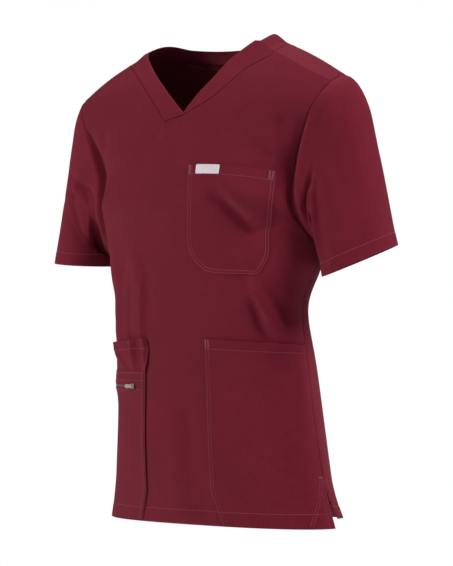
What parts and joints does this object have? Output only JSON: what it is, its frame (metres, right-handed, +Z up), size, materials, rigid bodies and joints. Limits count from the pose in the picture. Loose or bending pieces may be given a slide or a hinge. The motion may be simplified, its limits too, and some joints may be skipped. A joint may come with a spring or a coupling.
{
  "type": "scrub top",
  "caption": "Short-sleeved V-neck medical scrub top, filled out as if worn, with a chest pocket, hip pockets and a zipped phone pocket.",
  "frame": {"origin": "middle of the neck opening, level with the front ends of the shoulder seams: where the wearer's neck and shoulders hold the garment", "axes": "+Z up along the wearer's back, +X to the wearer's left, -Y the way the wearer faces"},
  "size_m": [0.6352, 0.2156, 0.725],
  "materials": {
    "cloth": "fine burgundy twill with a little stretch, matt with a soft sheen",
    "tag": "smooth silver-grey woven tape",
    "label": "plain white woven label",
    "zip": "dark grey plastic coil",
    "metal": "plated zip metal, satin"
  },
  "bodies": {
    "garment": {"back_panel": "cloth", "chest_pocket": "cloth", "chest_tag": "tag", "front_panel": "cloth", "neck_label": "label", "neckband_back": "cloth", "neckband_left": "cloth", "neckband_right": "cloth", "phone_pocket": "cloth", "pocket_left": "cloth", "pocket_right": "cloth", "sleeve_left": "cloth", "sleeve_right": "cloth", "zip_coil": "zip", "zip_slider": "metal"},
    "pull_tab": {"pull_tab": "metal"}
  },
  "joints": [
    {"name": "pull_tab_turn", "type": "hinge", "parent": "garment", "child": "pull_tab", "pos_m": [-0.09784, -0.07648, -0.51193], "axis": [-0.0123, -0.0431, 0.999], "range_deg": [0, 170]}
  ]
}
